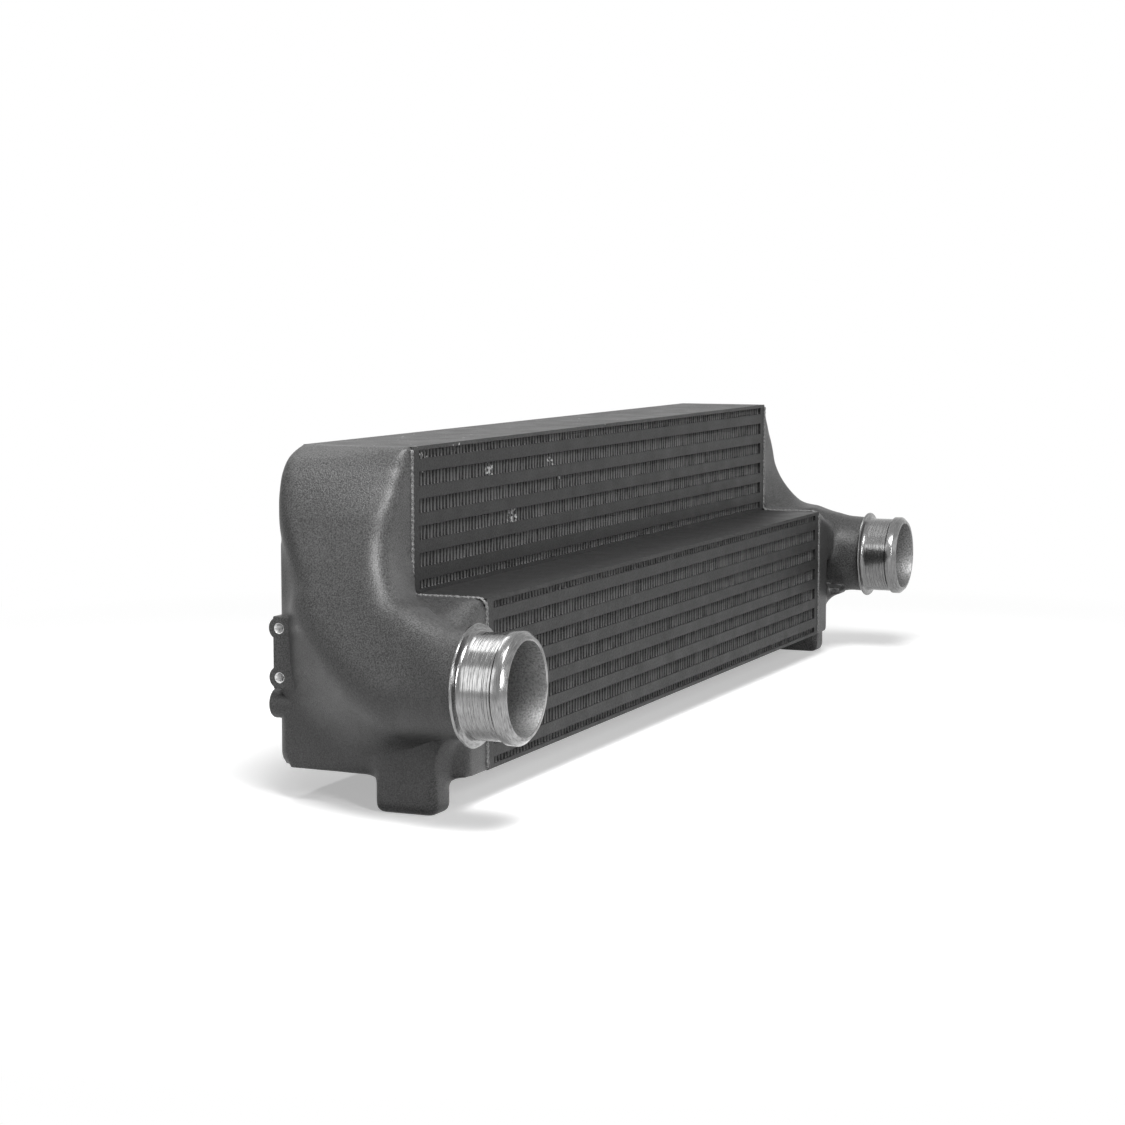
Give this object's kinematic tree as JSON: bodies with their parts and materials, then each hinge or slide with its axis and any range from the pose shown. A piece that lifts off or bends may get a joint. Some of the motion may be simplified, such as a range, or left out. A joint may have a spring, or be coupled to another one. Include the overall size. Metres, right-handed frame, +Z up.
{
  "type": "intercooler",
  "caption": "Bar-and-plate intercooler with a stepped finned core and two cast end tanks with round necks.",
  "frame": {"origin": "under the middle of the whole part, in the plane of the feet's soles", "axes": "+X along the core from the near tank with the bracket to the far tank, +Y from the air's entry face to its exit face, +Z up from the feet to the upper block"},
  "size_m": [0.785, 0.1638, 0.1908],
  "materials": {
    "cast_coat": "satin black coat on rough cast aluminium",
    "core_coat": "thin black coat on aluminium bars and plates",
    "fin_sheet": "thinly coated aluminium sheet",
    "bare_aluminium": "turned, bare"
  },
  "bodies": {
    "root": {"bottom_plate": "core_coat", "charge_bars_01": "core_coat", "charge_bars_02": "core_coat", "charge_bars_03": "core_coat", "charge_bars_04": "core_coat", "charge_bars_05": "core_coat", "charge_bars_06": "core_coat", "charge_bars_07": "core_coat", "charge_bars_08": "core_coat", "charge_bars_09": "core_coat", "charge_bars_10": "core_coat", "charge_bars_11": "core_coat", "far_end_tank": "cast_coat", "far_neck_ring": "bare_aluminium", "fin_row_01": "fin_sheet", "fin_row_02": "fin_sheet", "fin_row_03": "fin_sheet", "fin_row_04": "fin_sheet", "fin_row_05": "fin_sheet", "fin_row_06": "fin_sheet", "fin_row_07": "fin_sheet", "fin_row_08": "fin_sheet", "fin_row_09": "fin_sheet", "fin_row_10": "fin_sheet", "fin_row_11": "fin_sheet", "fin_row_12": "fin_sheet", "fin_row_13": "fin_sheet", "ledge_plate": "core_coat", "lower_far_end_bars": "core_coat", "lower_near_end_bars": "core_coat", "near_end_tank": "cast_coat", "near_neck_ring": "bare_aluminium", "parting_sheets_01": "core_coat", "parting_sheets_02": "core_coat", "parting_sheets_03": "core_coat", "parting_sheets_04": "core_coat", "parting_sheets_05": "core_coat", "parting_sheets_06": "core_coat", "parting_sheets_07": "core_coat", "parting_sheets_08": "core_coat", "parting_sheets_09": "core_coat", "parting_sheets_10": "core_coat", "parting_sheets_11": "core_coat", "top_plate": "core_coat", "turbulator_01": "fin_sheet", "turbulator_02": "fin_sheet", "turbulator_03": "fin_sheet", "turbulator_04": "fin_sheet", "turbulator_05": "fin_sheet", "turbulator_06": "fin_sheet", "turbulator_07": "fin_sheet", "turbulator_08": "fin_sheet", "turbulator_09": "fin_sheet", "turbulator_10": "fin_sheet", "turbulator_11": "fin_sheet", "upper_base_plate": "core_coat", "upper_far_end_bars": "core_coat", "upper_near_end_bars": "core_coat"}
  },
  "joints": []
}
